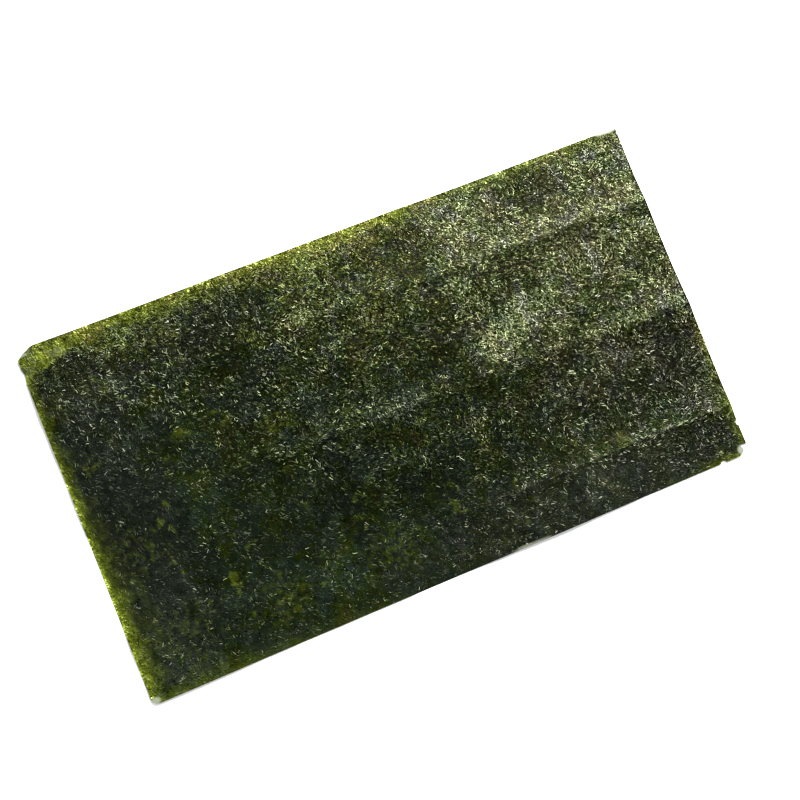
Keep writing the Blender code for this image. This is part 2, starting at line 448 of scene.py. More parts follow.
def to_outline(places, border):
    """Return, for each place, the signed way to the outline (inside is positive) and the foot."""
    starts = border
    along = np.roll(border, -1, axis=0) - starts
    lengths = (along**2).sum(1)
    signed = np.empty(len(places))
    feet = np.empty((len(places), 2))
    for first in range(0, len(places), AT_ONCE):
        part = places[first:first + AT_ONCE, None, :]
        share = np.clip(((part - starts) * along).sum(2) / lengths, 0.0, 1.0)
        foot = starts + along * share[..., None]
        gap = ((part - foot) ** 2).sum(2)
        nearest = gap.argmin(1)
        rows = np.arange(len(part))
        feet[first:first + AT_ONCE] = foot[rows, nearest]
        x, y = part[..., 0], part[..., 1]
        ends = starts + along
        spans = (starts[:, 1] > y) != (ends[:, 1] > y)
        slope = np.where(along[:, 1] == 0.0, 1.0, along[:, 1])
        crossing = starts[:, 0] + (y - starts[:, 1]) / slope * along[:, 0]
        inside = (spans & (x < crossing)).sum(1) % 2 == 1
        distance = np.sqrt(gap[rows, nearest])
        signed[first:first + AT_ONCE] = np.where(inside, distance, -distance)
    return signed, feet


def oval(x, y, place, rough):
    """Return a place's strength in the middle of its ragged oval and 0 outside it."""
    middle, half_size, strength = place
    reach = np.hypot((x - middle[0]) / half_size[0], (y - middle[1]) / half_size[1])
    return strength * smooth_step(*OVAL_BORDER, reach + rough)


def crispness_and_sheen(x, y):
    """Return how crisp the film is, which also sets how much sheen is painted on it."""
    slant = CRISP_ALONG[0] * x / (LENGTH / 2) + CRISP_ALONG[1] * y / (WIDTH / 2)
    crisp = CRISP_LEAST + (CRISP_MOST - CRISP_LEAST) * smooth_step(*CRISP_SLANT, slant)
    return crisp - oval(x, y, LESS_CRISP_AND_SHEEN, 0.0)


def thinness(x, y):
    """Return 1 where light comes through the leaf, painted into its colour, and 0 where it is dark."""
    ragged = RAGGED[0] * lumps(x, y, "edge") + RAGGED[1] * lumps(x, y, "small edge")
    fine = lumps(x, y, "fine")
    from_side = {
        "top": (x, WIDTH / 2 - y),
        "bottom": (x, WIDTH / 2 + y),
        "left": (y, LENGTH / 2 + x),
        "right": (y, LENGTH / 2 - x),
    }
    thin = np.zeros_like(x)
    for side, places in THIN_EDGES.items():
        along, depth = from_side[side]
        place, strength, reach = np.array(places).T
        depth = np.maximum(depth, 0.0) * np.exp(EDGE_RAGGED[0] * ragged + EDGE_RAGGED[1] * fine)
        band = np.interp(along, place, strength) * np.exp(-depth / np.interp(along, place, reach))
        thin = np.maximum(thin, band)
    places, depths, strength = THIN_CORNER
    depth = (WIDTH / 2 - y) / np.interp(x, places, depths) + CORNER_RAGGED * ragged
    corner = strength * smooth_step(*CORNER_BORDER, depth)
    thin = np.maximum(thin, corner * smooth_step(CORNER_END, 0.0, x - places[1]))
    broken = smooth_step(*BREAKS, lumps(x, y, "breaks") + BREAKS_FINE * fine)
    for place in THIN_SPOTS:
        thin = np.maximum(thin, broken * oval(x, y, place, SPOT_RAGGED * ragged))
    small, finest = MOTTLE_SHARES
    mottle = lumps(x, y, "mottle") + small * lumps(x, y, "small mottle") + finest * fine
    share = smooth_step(MOTTLE_REACH, -MOTTLE_REACH, x / (LENGTH / 2) + y / (WIDTH / 2))
    least, more = MOTTLE_STRENGTH
    thin = np.maximum(thin, (least + more * share) * smooth_step(*MOTTLE_SHOWS, mottle))
    mean, by_fine, by_ragged = UNEVEN
    return thin * (mean + by_fine * fine + by_ragged * ragged)


def fold_wander(index, x):
    """Return how far a fold's step of tone and its crests wander off the line at x."""
    return FOLD_WANDER * lumps(x, x * 0.0, "fold", index)


def fold_shade(x, y):
    """Return the change of tone at the folds, painted light: paler just above the line as a painted
    highlight, darker below it as painted shade, and darker left of the cross bend as painted shade.
    """
    shade = np.zeros_like(x)
    for index, (start, full, dark, light) in enumerate(FOLD_SHADES):
        below = fold_y(index, x) + FOLD_LIFT[index] - y + fold_wander(index, x)
        under = smooth_step(*FOLD_TO_DARK, below) * np.exp(-np.maximum(below, 0.0) / FOLD_REACH)
        over = smooth_step(*FOLD_TO_PALE, below) * np.exp(np.minimum(below, 0.0) / FOLD_GLOW_REACH)
        glow = light * (1.0 + smooth_step(*FOLD_GLOW_DOUBLES, x))
        shade += smooth_step(start, full, x) * (glow * over - dark * under)
    place, (low, high), dark, reach = CROSS_SHADE
    left = place - x + CROSS_WANDER * lumps(x * 0.0, y, "cross bend")
    beside = smooth_step(-CROSS_STEP, CROSS_STEP, left) * np.exp(-np.maximum(left, 0.0) / reach)
    ends = smooth_step(low, low + CROSS_END, y), smooth_step(high, high - CROSS_END, y)
    shade -= dark * beside * ends[0] * ends[1]
    return shade


class Raster:
    """Relief and tones of the pressed flakes, on a grid of square pixels over the sheet."""

    def __init__(self):
        self.left = -LENGTH / 2 - MARGIN
        self.low = -WIDTH / 2 - MARGIN
        self.columns = int(round((LENGTH + 2 * MARGIN) / PIXEL)) + 1
        self.rows = int(round((WIDTH + 2 * MARGIN) / PIXEL)) + 1
        self.x = self.left + np.arange(self.columns) * PIXEL
        self.y = self.low + np.arange(self.rows) * PIXEL
        shape = (self.rows, self.columns)
        self.height = np.zeros(shape)
        self.tone = np.full(shape, START_TONE)
        self.olive = np.full(shape, START_OLIVE)

    def window(self, x, y, reach):
        """Return the slices of the square round a place, and its distances in X and Y."""
        column = (x - self.left) / PIXEL
        row = (y - self.low) / PIXEL
        span = reach / PIXEL
        columns = slice(max(int(column - span), 0), min(int(column + span) + 2, self.columns))
        rows = slice(max(int(row - span), 0), min(int(row + span) + 2, self.rows))
        return (rows, columns), self.x[columns][None, :] - x, self.y[rows][:, None] - y

    def press_flake(self, x, y, angle, long, wide, bend, lift, tilt, rim, tone, olive):
        """Lay one flake over what is there: it hides, lifts and tilts, and its rim curls up."""
        place, dx, dy = self.window(x, y, long * FLAKE_WINDOW)
        along = (dx * math.cos(angle) + dy * math.sin(angle)) / long
        across = (-dx * math.sin(angle) + dy * math.cos(angle)) / wide
        across = across - bend * (along * along - FLAKE_BOW)
        reach = np.abs(along) ** FLAKE_BLUNTNESS + across * across
        mask = smooth_step(*FLAKE_BORDER, reach)
        curl = np.exp(-(((np.sqrt(reach) - RIM_PLACE) / RIM_WIDTH) ** 2))
        curl = curl * (across > RIM_SIDE) * (reach < RIM_REACH)
        height = self.height[place]
        self.height[place] = (
            height * (1.0 - HIDES_RELIEF * mask)
            + mask * (lift + tilt[0] * along + tilt[1] * across)
            + rim * curl
        )
        self.tone[place] += HIDES_TONE * mask * (tone - self.tone[place])
        self.olive[place] += HIDES_TONE * mask * (olive - self.olive[place])

    def press_wrinkles(self, x, y, angle, long, pitch, ridges, bend, slips, height):
        """Add a pack of short curved ridges that run side by side, with a painted highlight on their
        crests and painted shade between them.
        """
        half = pitch * ridges / 2
        place, dx, dy = self.window(x, y, math.hypot(long * PACK_WINDOW, half))
        along = (dx * math.cos(angle) + dy * math.sin(angle)) / long
        across = (-dx * math.sin(angle) + dy * math.cos(angle)) / pitch
        across = across - bend * along * along + ridges / 2
        ridge = np.floor(across)
        inside = (ridge >= 0) & (ridge < ridges)
        number = np.clip(ridge, 0, len(slips) - 1).astype(int)
        from_crest = np.abs(across - ridge - 0.5) * 2.0
        crest = (1.0 - from_crest) ** RIDGE_SHARPNESS
        reach = smooth_step(*RIDGE_ENDS, np.abs(along - slips[number]))
        self.height[place] += height * inside * crest * reach
        # Painted highlight on the crest and painted shade off it
        self.tone[place] += WRINKLE_LIGHT_TONE * inside * (crest - RIDGE_MIDDLE) * reach

    def read(self, layer, x, y):
        """Return a layer's values at places."""
        return read_grid(layer, (y - self.low) / PIXEL, (x - self.left) / PIXEL)


def read_grid(layer, row, column):
    """Return a grid's values at fractional rows and columns, mixed from the four points round."""
    row = np.clip(row, 0, layer.shape[0] - 1.001)
    column = np.clip(column, 0, layer.shape[1] - 1.001)
    r0 = row.astype(int)
    c0 = column.astype(int)
    down = row - r0
    right = column - c0
    first = layer[r0, c0] * (1 - right) + layer[r0, c0 + 1] * right
    second = layer[r0 + 1, c0] * (1 - right) + layer[r0 + 1, c0 + 1] * right
    return first * (1 - down) + second * down


def lay_angle(random, x, y):
    """Return the direction in which the strands at each place lie, with its own scatter."""
    mean, swing, scatter = LAY
    return mean + swing * lumps(x, y, "lay") + random.normal(0.0, scatter, len(x))


def scattered(random, count, length):
    """Return random places all over, their strands' direction, and half-lengths, few of them long."""
    spread_x = LENGTH / 2 + MARGIN / 2
    spread_y = WIDTH / 2 + MARGIN / 2
    x = random.uniform(-spread_x, spread_x, count)
    y = random.uniform(-spread_y, spread_y, count)
    lay = lay_angle(random, x, y)
    shape, scale, least = length
    return x, y, lay, random.gamma(shape, scale, count) + least


def pressed_relief():
    """Return the raster with every flake and wrinkle pressed into it."""
    random = np.random.default_rng(SEED)
    raster = Raster()
    x, y, lay, long = scattered(random, FLAKES, FLAKE_LENGTH)
    wide = long * random.uniform(*FLAKE_WIDTH, FLAKES)
    bend = random.normal(0.0, FLAKE_BEND, FLAKES)
    lift = random.uniform(0.0, FLAKE_LIFT, FLAKES)
    tilt = random.normal(0.0, 1.0, (FLAKES, 2)) * FLAKE_TILT
    rim = np.maximum(random.normal(*FLAKE_RIM, FLAKES), 0.0)
    first, second, patchy = FLAKE_TONE
    tone = random.beta(first, second, FLAKES) + patchy * lumps(x, y, "flake tone")
    tone = np.clip(tone, 0.0, 1.0)
    low, high, patchy = FLAKE_OLIVE
    olive = random.uniform(low, high, FLAKES) + patchy * lumps(x, y, "flake hue")
    olive = np.clip(olive, 0.0, 1.0)
    for flake in zip(x, y, lay, long, wide, bend, lift, tilt, rim, tone, olive):
        raster.press_flake(*flake)
    x, y, lay, long = scattered(random, PACKS, PACK_LENGTH)
    pitch = random.uniform(*PACK_PITCH, PACKS)
    ridges = random.integers(1, MOST_RIDGES + 1, PACKS)
    bend = random.normal(0.0, PACK_BEND, PACKS)
    slips = random.normal(0.0, PACK_SLIP, (PACKS, MOST_RIDGES))
    height = random.uniform(*PACK_HEIGHT, PACKS) * smooth_step(*PACK_PATCHES, lumps(x, y, "packs"))
    height = height * crispness_and_sheen(x, y)
    for pack in zip(x, y, lay, long, pitch, ridges, bend, slips, height):
        raster.press_wrinkles(*pack)
    return raster


def open_sides(kept):
    """Return, for the blocks with no neighbour on one side, rows and columns of its two ends."""
    padded = np.pad(kept, 1)
    ends = []
    for beside, start, step in (
        (padded[:-2, 1:-1], (0, 1), (0, -1)),
        (padded[2:, 1:-1], (1, 0), (0, 1)),
        (padded[1:-1, :-2], (0, 0), (1, 0)),
        (padded[1:-1, 2:], (1, 1), (-1, 0)),
    ):
        rows, columns = np.nonzero(kept & ~beside)
        rows, columns = rows + start[0], columns + start[1]
        ends.append((rows, columns, rows + step[0], columns + step[1]))
    return ends


class Leaf:
    """Fine grid of the leaf's top, its relief and tones, and which blocks lie in the outline."""

    def __init__(self):
        self.blocks_across = round(LENGTH / (2 * CELL))
        middle = panel_limits(0.0)
        self.panel_blocks = [
            round((top - bottom) / (2 * CELL)) for top, bottom in zip(middle, middle[1:])
        ]
        column_x = np.linspace(-LENGTH / 2, LENGTH / 2, 2 * self.blocks_across + 1)
        limits = panel_limits(column_x)
        rows = []
        for panel, blocks in enumerate(self.panel_blocks):
            for row in range(2 * blocks):
                share = row / (2 * blocks)
                rows.append(limits[panel] * (1 - share) + limits[panel + 1] * share)
        rows.append(limits[-1])
        self.y = np.array(rows)
        self.x = np.broadcast_to(column_x, self.y.shape).copy()
        self.fit_outline()

    def fit_outline(self):
        """Keep the blocks inside the outline, and draw their border onto it."""
        from_side = np.minimum(LENGTH / 2 - np.abs(self.x), WIDTH / 2 - np.abs(self.y))
        near = from_side < EDGE_REACH
        signed = np.full(self.x.shape, np.inf)
        feet = np.stack([self.x, self.y], axis=-1)
        signed[near], feet[near] = to_outline(feet[near], outline())
        corners = signed[::2, ::2]
        least = np.minimum(
            np.minimum(corners[:-1, :-1], corners[1:, :-1]),
            np.minimum(corners[:-1, 1:], corners[1:, 1:]),
        )
        self.kept = least > -CELL
        close = self.border_points() & (np.abs(signed) < SNAP_REACH * CELL)
        self.x[close] = feet[close][:, 0]
        self.y[close] = feet[close][:, 1]

    def border_points(self):
        """Return which fine points lie on the border of the kept blocks."""
        full = np.zeros(self.x.shape, bool)
        for r0, c0, r1, c1 in open_sides(self.kept):
            for row, column in ((2 * r0, 2 * c0), (r0 + r1, c0 + c1), (2 * r1, 2 * c1)):
                full[row, column] = True
        return full

    def press(self, raster):
        """Give the leaf its heights, in millimetres."""
        x, y = self.x, self.y
        under = underside_height(x, y)
        relief = raster.read(raster.height, x, y)
        low, high = np.percentile(relief, RELIEF_RANGE)
        self.relief = np.clip((relief - low) / (high - low), 0.0, 1.0)
        self.top = under + LEAST_LEAF + RELIEF * self.relief
        self.cover = highest_near(self.top)
        rough = np.clip((raster.read(raster.height, -x, y) - low) / (high - low), 0.0, 1.0)
        self.bottom = (under + UNDERSIDE_RELIEF * LEAST_LEAF * rough)[::2, ::2]
        self.normals = grid_normals(x, y, self.top)
        self.low_normals = grid_normals(x[::2, ::2], y[::2, ::2], self.bottom)

    def paint(self, raster):
        """Give the leaf its tones, hues and thin places, with painted sheen, shade and highlight in
        them.
        """
        x, y = self.x, self.y
        ragged = BORDER_RAGGED * lumps(x, y, "border")
        thin = np.clip((1.0 + THIN_LEAST) * thinness(x, y) - THIN_LEAST, 0.0, 1.0)
        crisp = crispness_and_sheen(x, y)
        crunch = oval(x, y, CRUNCH, ragged)
        # Painted shade and highlight at the folds, and painted shade beside the cross bend
        self.shift = TONE_SHIFT + fold_shade(x, y)
        for place in TONE_PATCHES:
            self.shift += oval(x, y, place, ragged)
        # Painted sheen: the film is paler where it is crisper, towards the upper right
        self.shift = (self.shift + CRISP_SHEEN_TONE * (crisp - CRISP_MIDDLE)) * (1.0 - thin)
        self.shift += LARGE_TONE * lumps(x, y, "large tone") * crisp**2
        self.shift += CLUMP_TONE * lumps(x, y, "clumps") * crunch
        # Painted shade in the hollows of the relief and painted highlight on its high places
        relief_shade = RELIEF_SHADE_TONE * (self.relief - self.relief.mean())
        tone = LEAF_TONE * raster.read(raster.tone, x, y) + relief_shade
        contrast = DULL_CONTRAST + (1.0 - DULL_CONTRAST) * crisp + crunch
        tone = tone.mean() + (tone - tone.mean()) * contrast
        tone -= CRUNCH_DARK * crunch + CRISP_DARK * smooth_step(*CRISP_DARK_RANGE, crisp)
        tone += THIN_TONE * thin * (CRISP_MOST - crisp)
        tone += THIN_MOTTLE * thin * lumps(x, y, "thin tone")
        olive = raster.read(raster.olive, x, y) + OLIVE_SHIFT * (crisp - CRISP_MIDDLE)
        olive += HUE_DRIFT * lumps(x, y, "hue drift")
        # Greyish painted sheen, strongest on crisp film
        grey_and_sheen = smooth_step(*PAINTED_SHEEN_SHOWS, lumps(x, y, "grey_and_sheen") + PAINTED_SHEEN_RAGGED * ragged)
        grey_and_sheen = PAINTED_SHEEN * grey_and_sheen * crisp
        for middle, half_size, to_olive, more in HUE_PATCHES:
            olive += oval(x, y, (middle, half_size, to_olive), ragged)
            grey_and_sheen += oval(x, y, (middle, half_size, more), ragged)
        flecks = smooth_step(*PALE_FLECKS, lumps(x, y, "pale flecks"))
        pale = oval(x, y, PALE_CORNER, ragged) * thin**2 * flecks
        for place in PALE_SPOTS:
            pale = np.maximum(pale, oval(x, y, place, ragged))
        lines = np.clip(LINES_BY_CRISPNESS * (crisp - LINES_FROM) + crunch, 0.0, LINES_MOST)
        self.fields = {
            "tone": np.clip(tone + self.shift, 0.0, 1.0),
            "olive": olive,
            "grey_and_sheen": np.clip(grey_and_sheen, 0.0, 1.0),
            "thin": thin,
            "pale": pale,
            "crisp": np.maximum(lines, thin),
        }

    def at(self, field, x, y):
        """Return the values of a field of the fine grid at places."""
        limits = panel_limits(x)
        row = np.zeros_like(x)
        first = 0
        for panel, blocks in enumerate(self.panel_blocks):
            share = (limits[panel] - y) / (limits[panel] - limits[panel + 1])
            here = share >= 0.0
            row[here] = (first + share * 2 * blocks)[here]
            first += 2 * blocks
        return read_grid(field, row, (x / LENGTH + 0.5) * 2 * self.blocks_across)


def highest_near(z):
    """Return, for each point of a grid, the most that it and its eight neighbours hold."""
    for axis in (0, 1):
        ends = [(1, 1) if axis == side else (0, 0) for side in (0, 1)]
        padded = np.pad(z, ends, mode="edge")
        count = z.shape[axis]
        z = np.max([padded.take(range(step, step + count), axis) for step in range(3)], axis=0)
    return z


def grid_normals(x, y, z):
    """Return the upward normals of a grid of points."""
    points = np.stack([x, y, z], -1)
    down = np.gradient(points, axis=0)
    right = np.gradient(points, axis=1)
    normals = np.cross(down, right)
    return normals / np.linalg.norm(normals, axis=-1, keepdims=True)


# A strand is a closed curled sliver with two tips, and a crest is a smaller one with fewer faces.
# Stations run along it. The faces of the upper side come first.
Form = namedtuple("Form", "stations upper lower")
STRAND = Form(
    (-1.0, -0.55, 0.55, 1.0),
    ((0, 1, 3), (0, 3, 2), (1, 4, 6, 3), (3, 6, 5, 2), (4, 7, 6), (6, 7, 5)),
    ((0, 2, 1), (2, 5, 4, 1), (5, 7, 4)),
)
CREST = Form(
    (-1.0, 0.0, 1.0),
    ((0, 1, 3), (0, 3, 2), (1, 4, 3), (3, 4, 2)),
    ((0, 2, 1), (2, 4, 1)),
)

# Patch is the lump size of the noise that thins a kind out, and its values of none and full. Share
# is the part kept on film of crispness 1, and crisp_power how it grows with crispness.
Kind = namedtuple(
    "Kind",
    "name form seed packs most half_length half_width crest tones patch crisp_power shine share",
)
KINDS = (
    Kind("green_strands", STRAND, 51, 2400, 3500, (0.4, 1.0), (0.07, 0.12), (0.02, 0.06),
         (0.10, 0.85), (5.0, -0.9, 0.1), 0.3, 0.2, 1.0),
    # Dark slivers laid as painted shade between the crests
    Kind("painted_shade_hollows", CREST, 54, 5000, 6000, (0.4, 0.9), (0.12, 0.20), (0.002, 0.006),
         (-0.3, 0.0), (5.0, -1.6, 0.5), 0.5, 0.05, 1.0),
    # The fine and pale crests are paler than the film they lie on, partly as painted glints
    Kind("fine_glint_crests", CREST, 52, 64000, 32000, (0.28, 0.70), (0.024, 0.040), (0.008, 0.018),
         (0.58, 2.05), (6.0, -4.0, 0.0), 0.85, 0.4, 0.58),
    Kind("pale_glint_crests", STRAND, 53, 38000, 16500, (0.34, 0.92), (0.027, 0.045), (0.010, 0.026),
         (0.50, 2.15), (6.0, -4.0, 0.0), 0.85, 0.4, 0.58),
)

# How many times denser the slivers lie for one more of tone
DENSITY_BY_TONE = 12.0

# A pack of slivers: bend, spacing and most in it, the two numbers of its tone's beta draw, and the
# mean of its hue with the parts of the noise and of chance
SLIVER_BEND = 0.28
SLIVER_PITCH = (0.40, 0.75)
MOST_IN_PACK = 2
SLIVER_TONE = (1.3, 2.6)
SLIVER_OLIVE = (0.30, 0.7, 0.25)

# How far each sliver strays from its pack: along it, and in direction, bend, tone and hue. Then how
# far its crest leans to one side, and the bow of a bent one.
STRAYS_ALONG = 0.45
STRAYS_ANGLE = 0.25
STRAYS_BEND = 0.14
STRAYS_TONE = 0.2
STRAYS_OLIVE = 0.15
SLIVER_LEAN = 0.35
SLIVER_BOW = 0.4

# Slivers of film that is less crisp than this are darker by the difference, which dims their painted
# glints. Those of thin leaf are drawn to a tone of their own, by the share after it. Then the limits
# of a sliver's tone.
CRISP_SLIVERS = 0.98
THIN_SLIVERS = 0.6
THIN_SLIVERS_SHARE = 0.8
LEAST_TONE = -0.3
MOST_TONE = 1.7

# The kind that also lies along each fold, how many of it, from which X on, and where it is full.
# Then how far above the line, turn and bend, and the ranges of tone and hue.
FOLD_KIND = "pale_glint_crests"
FOLD_CRESTS = 90
FOLD_CREST_FROM = -30.0
FOLD_CREST_FULL = 45.0
FOLD_CREST_ABOVE = (0.1, 0.25)
FOLD_CREST_TURN = 0.30
FOLD_CREST_BEND = 0.10
FOLD_CREST_TONE = (0.0, 0.8)
FOLD_CREST_OLIVE = (0.3, 0.8)

# How deep the tips are sunk, the highest place, and the gaps to the outline and on the picture
SINK = 0.05
TOP_LIMIT = 1.84
EDGE_GAP = 0.12
UV_GAP = 0.08


def spread_places(random, count):
    """Return about count places, one at random in each cell of a grid, in a random order."""
    across = round(math.sqrt(count * LENGTH / WIDTH))
    along = count // across
    cell = random.permutation(across * along)
    x = (cell % across + random.uniform(0.0, 1.0, len(cell))) / across
    y = (cell // across + random.uniform(0.0, 1.0, len(cell))) / along
    return LENGTH * (x - 0.5), WIDTH * (y - 0.5)


def strand_places(random, leaf, kind):
    """Return the places, directions and tones of one kind's slivers, a pack at a time."""
    x, y = spread_places(random, kind.packs)
    packs = len(x)
    lay = lay_angle(random, x, y)
    bend = random.normal(0.0, SLIVER_BEND, packs)
    pitch = random.uniform(*SLIVER_PITCH, packs)
    size, low, high = kind.patch
    chance = smooth_step(low, high, noise_map(x, y, size, KIND_LAYER + kind.seed))
    chance = kind.share * chance * crispness_and_sheen(x, y) ** kind.crisp_power
    chance = chance * DENSITY_BY_TONE ** leaf.at(leaf.shift, x, y)
    kept = random.uniform(0.0, 1.0, packs) < chance
    count = random.integers(1, MOST_IN_PACK + 1, packs)
    tone = random.beta(*SLIVER_TONE, packs)
    mean, patchy, scatter = SLIVER_OLIVE
    olive = mean + patchy * lumps(x, y, "flake hue") + random.normal(0.0, scatter, packs)
    number = np.repeat(np.arange(packs)[kept], count[kept])
    order = np.arange(len(number)) - np.searchsorted(number, number)
    offset = (order - count[number] / 2 + 0.5) * pitch[number]
    total = len(number)
    slip = random.normal(0.0, STRAYS_ALONG, total)
    angle = lay[number] + random.normal(0.0, STRAYS_ANGLE, total)
    along_x, along_y = np.cos(lay[number]), np.sin(lay[number])
    return {
        "x": x[number] - along_y * offset + along_x * slip,
        "y": y[number] + along_x * offset + along_y * slip,
        "angle": angle,
        "bend": bend[number] + random.normal(0.0, STRAYS_BEND, total),
        "tone": np.clip(tone[number] + random.normal(0.0, STRAYS_TONE, total), 0.0, 1.0),
        "olive": np.clip(olive[number] + random.normal(0.0, STRAYS_OLIVE, total), 0.0, 1.0),
    }


def fold_places(random):
    """Return the places of the bright crests along the fold lines, whose brightness is partly a painted
    glint on the ridge, and which fade out to the left.
    """
    parts = []
    for index in range(len(FOLD_FROM_TOP)):
        x = np.sort(random.uniform(FOLD_CREST_FROM, LENGTH / 2 - 1.0, FOLD_CRESTS))
        share = smooth_step(FOLD_CREST_FROM, FOLD_CREST_FULL, x)
        kept = random.uniform(0.0, 1.0, FOLD_CRESTS) < share
        x = x[kept]
        above = random.normal(*FOLD_CREST_ABOVE, len(x))
        y = fold_y(index, x) + fold_wander(index, x) + above
        parts.append((x, y))
    x, y = (np.concatenate(values) for values in zip(*parts))
    return {
        "x": x,
        "y": y,
        "angle": random.normal(0.0, FOLD_CREST_TURN, len(x)),
        "bend": random.normal(0.0, FOLD_CREST_BEND, len(x)),
        "tone": random.uniform(*FOLD_CREST_TONE, len(x)),
        "olive": random.uniform(*FOLD_CREST_OLIVE, len(x)),
    }


def sliver_corners(random, leaf, kind, places):
    """Return each sliver's corners: two sides and a crest at each station, and two sunk tips."""
    count = len(places["x"])
    long = random.uniform(*kind.half_length, count)
    wide = random.uniform(*kind.half_width, count)
    high = random.uniform(*kind.crest, count)
    lean = random.normal(0.0, SLIVER_LEAN, count)
    cos, sin = np.cos(places["angle"]), np.sin(places["angle"])
    corners = []
    for station in kind.form.stations:
        tip = abs(station) == 1.0
        for side, rise in ((0.0, 0.0),) if tip else ((-1.0, 0.0), (1.0, 0.0), (0.0, 1.0)):
            along = station * long
            bow = places["bend"] * long * (station * station - SLIVER_BOW)
            across = (side + rise * lean) * wide + bow
            x = places["x"] + cos * along - sin * across
            y = places["y"] + sin * along + cos * across
            level = leaf.at(leaf.top if tip else leaf.cover, x, y)
            corners.append(np.stack([x, y, level - SINK if tip else level + rise * high], -1))
    return np.stack(corners, 1)


def sliver_fields(leaf, kind, places):
    """Return the slivers' fields: the leaf's, with tone and hue mixed from both."""
    x, y = places["x"], places["y"]
    fields = {name: leaf.at(field, x, y) for name, field in leaf.fields.items()}
    low, high = kind.tones
    # Slivers on less crisp film are darker, dimming their painted glints
    dull = CRISP_SLIVERS - np.minimum(crispness_and_sheen(x, y), CRISP_SLIVERS)
    tone = low + (high - low) * places["tone"] - dull
    tone = np.clip(tone + leaf.at(leaf.shift, x, y), LEAST_TONE, MOST_TONE)
    to_thin = (THIN_SLIVERS - tone) * THIN_SLIVERS_SHARE * np.sqrt(fields["thin"])
    fields["tone"] = tone + to_thin
    fields["olive"] = 0.5 * (places["olive"] + fields["olive"])
    return fields


def make_slivers(leaf, kind, material):
    """Make one kind of sliver: closed, with a crest, and sunk a little into the leaf."""
    random = np.random.default_rng(kind.seed)
    places = strand_places(random, leaf, kind)
    if kind.name == FOLD_KIND:
        along = fold_places(random)
        places = {name: np.concatenate([along[name], places[name]]) for name in places}
    corners = sliver_corners(random, leaf, kind, places)
    signed, _ = to_outline(corners[..., :2].reshape(-1, 2), outline())
    inside = (signed.reshape(len(corners), -1) > EDGE_GAP).all(1)
    chosen = np.nonzero(inside)[0][:kind.most]
    places = {name: values[chosen] for name, values in places.items()}
    corners = corners[chosen]
    corners[..., 2] = np.minimum(corners[..., 2], TOP_LIMIT)
    faces = kind.form.upper + kind.form.lower
    numbers = np.concatenate(faces) + np.arange(len(chosen))[:, None] * corners.shape[1]
    sizes = np.tile([len(face) for face in faces], len(chosen))
    mesh = mesh_from(kind.name, corners.reshape(-1, 3), numbers.ravel(), sizes)
    for name, values in sliver_fields(leaf, kind, places).items():
        add_field(mesh, name, np.repeat(values, corners.shape[1]))
    sliver_uv(mesh, kind.form, len(chosen))
    mesh.materials.append(material)
    return mesh


def mesh_from(name, points, corners, sizes):
    """Return a mesh of points in millimetres and faces given by their corners and sizes."""
    mesh = bpy.data.meshes.new(name)
    mesh.vertices.add(len(points))
    mesh.vertices.foreach_set("co", (points * MM).ravel())
    mesh.loops.add(len(corners))
    mesh.loops.foreach_set("vertex_index", corners)
    mesh.polygons.add(len(sizes))
    mesh.polygons.foreach_set("loop_start", np.concatenate([[0], np.cumsum(sizes)[:-1]]))
    mesh.polygons.foreach_set("loop_total", sizes)
    mesh.polygons.foreach_set("use_smooth", np.zeros(len(sizes), bool))
    mesh.update(calc_edges=True)
    return mesh


def add_field(mesh, name, values):
    """Keep one value for each point of a mesh."""
    layer = mesh.attributes.new(name, "FLOAT", "POINT")
    layer.data.foreach_set("value", values.astype(np.float32))


def set_uv(mesh, places):
    """Keep the places of the faces' corners on the picture of the UV map."""
    layer = mesh.uv_layers.new(name="OFBake")
    layer.data.foreach_set("uv", places.astype(np.float32).ravel())


def sliver_uv(mesh, form, count):
    """Give each sliver a cell of the picture of the UV map: its top on the left, its underside right.
    """
    middles = [0.5 + 0.5 * station for station in form.stations]
    flat = []
    for place, station in zip(middles, form.stations):
        flat += [(0.5, place)] if abs(station) == 1.0 else [(0.0, place), (1.0, place), (0.5, place)]
    flat = np.array(flat)
    one = []
    for start, faces in ((0.0, form.upper), (0.5, form.lower)):
        for face in faces:
            part = flat[list(face)] * (0.5 - UV_GAP, 1.0 - 2 * UV_GAP)
            one.append(part + (start + UV_GAP / 2, UV_GAP))
    one = np.concatenate(one)
    across = math.ceil(math.sqrt(count))
    number = np.arange(count)
    cell = np.stack([number % across, number // across], -1)
    set_uv(mesh, (one[None] + cell[:, None]) / across)


